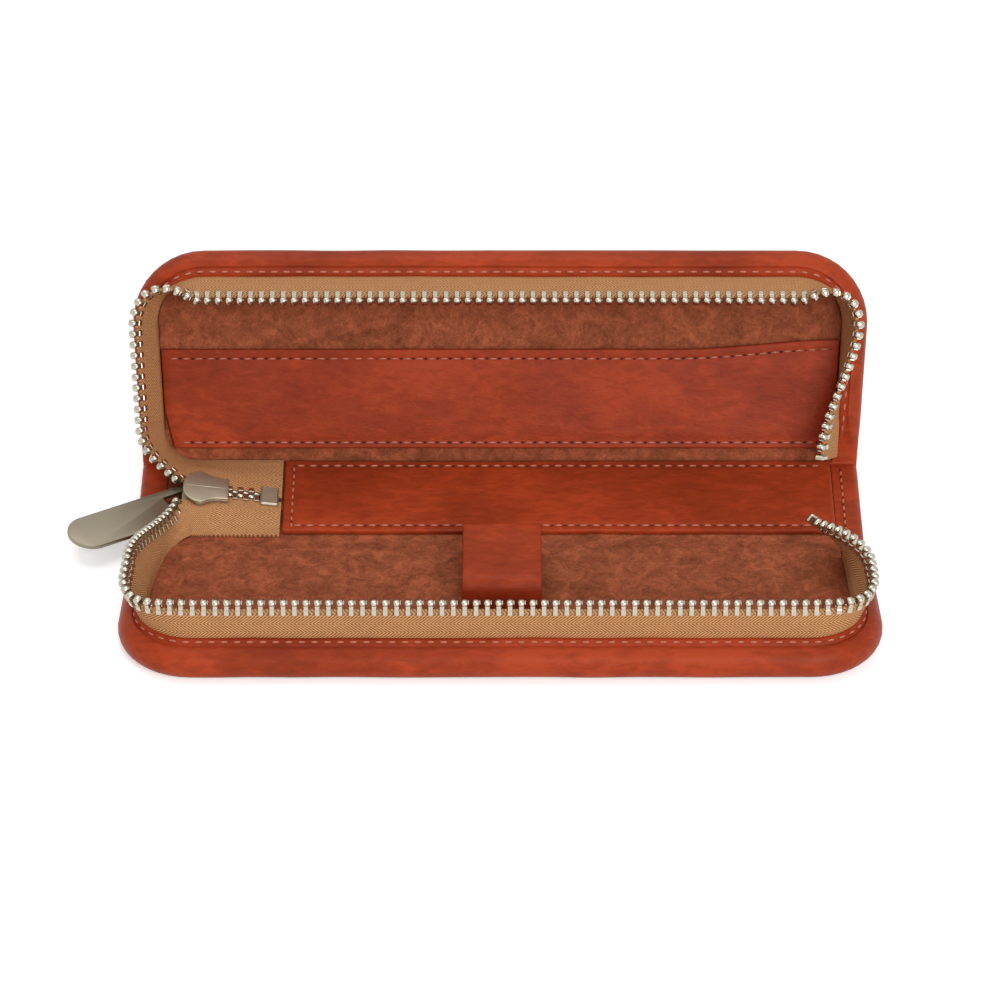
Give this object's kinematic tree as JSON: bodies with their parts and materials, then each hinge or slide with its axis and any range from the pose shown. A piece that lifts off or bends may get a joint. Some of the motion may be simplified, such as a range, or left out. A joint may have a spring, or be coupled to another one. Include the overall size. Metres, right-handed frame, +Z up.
{
  "type": "fountain pen case",
  "caption": "Zip-round leather fountain pen case standing open: tray with a pen loop, flat spine, hinged lid with a pocket, metal zip chains, slider and pull tab.",
  "frame": {"origin": "centre of the tray's flat underside, which stands on the table", "axes": "+X along the case, its longest side; +Y from the tray across the spine to the lid; +Z up"},
  "size_m": [0.1881, 0.1086, 0.0502],
  "materials": {
    "outer_leather": "fine grained aniline leather, satin",
    "suede_lining": "matte suede, flesh side out",
    "stiffener_board": "grey board, hidden between the layers",
    "edge_foam": "closed-cell foam cord, hidden in the roll",
    "zip_tape": "woven herringbone cotton tape",
    "zip_metal": "satin nickel plate",
    "slider_metal": "satin nickel plate, polished edges"
  },
  "bodies": {
    "tray": {"tray_cover": "outer_leather", "tray_edge_cord": "edge_foam", "tray_board": "stiffener_board", "tray_lining": "suede_lining", "tray_zip_tape": "zip_tape", "tray_zip_teeth": "zip_metal", "tray_corner_tape": "zip_tape", "tray_corner_teeth": "zip_metal", "tray_top_stop": "zip_metal", "pen_loop": "outer_leather"},
    "spine": {"spine_cover": "outer_leather", "spine_lining": "suede_lining", "spine_strip": "outer_leather", "spine_tape_front": "zip_tape", "spine_tape_back": "zip_tape", "spine_chain": "zip_metal", "bottom_stop": "zip_metal"},
    "slider": {"slider_body": "slider_metal"},
    "pin": {"pull_pin": "slider_metal"},
    "pull": {"pull_tab": "slider_metal"},
    "lid": {"lid_cover": "outer_leather", "lid_edge_cord": "edge_foam", "lid_board": "stiffener_board", "lid_lining": "suede_lining", "lid_pocket": "outer_leather", "lid_zip_tape": "zip_tape", "lid_zip_teeth": "zip_metal", "lid_corner_tape": "zip_tape", "lid_corner_teeth": "zip_metal", "lid_top_stop": "zip_metal"}
  },
  "joints": [
    {"name": "spine_fold", "type": "hinge", "parent": "tray", "child": "spine", "pos_m": [0, 0.026, 0.0006], "axis": [1, 0, 0], "range_deg": [0, 90], "deforming": ["tray_corner_tape", "tray_corner_teeth"]},
    {"name": "lid_fold", "type": "hinge", "parent": "spine", "child": "lid", "pos_m": [0, 0.0604, 0.0006], "axis": [1, 0, 0], "range_deg": [-63, 17], "deforming": ["lid_corner_tape", "lid_corner_teeth"]},
    {"name": "slider_slide", "type": "slide", "parent": "spine", "child": "slider", "axis": [0.9925, 0, -0.1219], "range_m": [0, 0.004]},
    {"name": "pull_turn", "type": "hinge", "parent": "slider", "child": "pin", "pos_m": [-0.07239, 0.0414, 0.00402], "axis": [0.1219, 0, 0.9925], "range_deg": [-35, 0]},
    {"name": "pull_swing", "type": "hinge", "parent": "pin", "child": "pull", "pos_m": [-0.07239, 0.0414, 0.00402], "axis": [-0.5693, 0.813, 0.1219], "range_deg": [0, 5]}
  ],
  "couplings": [
    {"joint": "pull_turn", "follows": "spine_fold", "ratio": -0.38889}
  ]
}
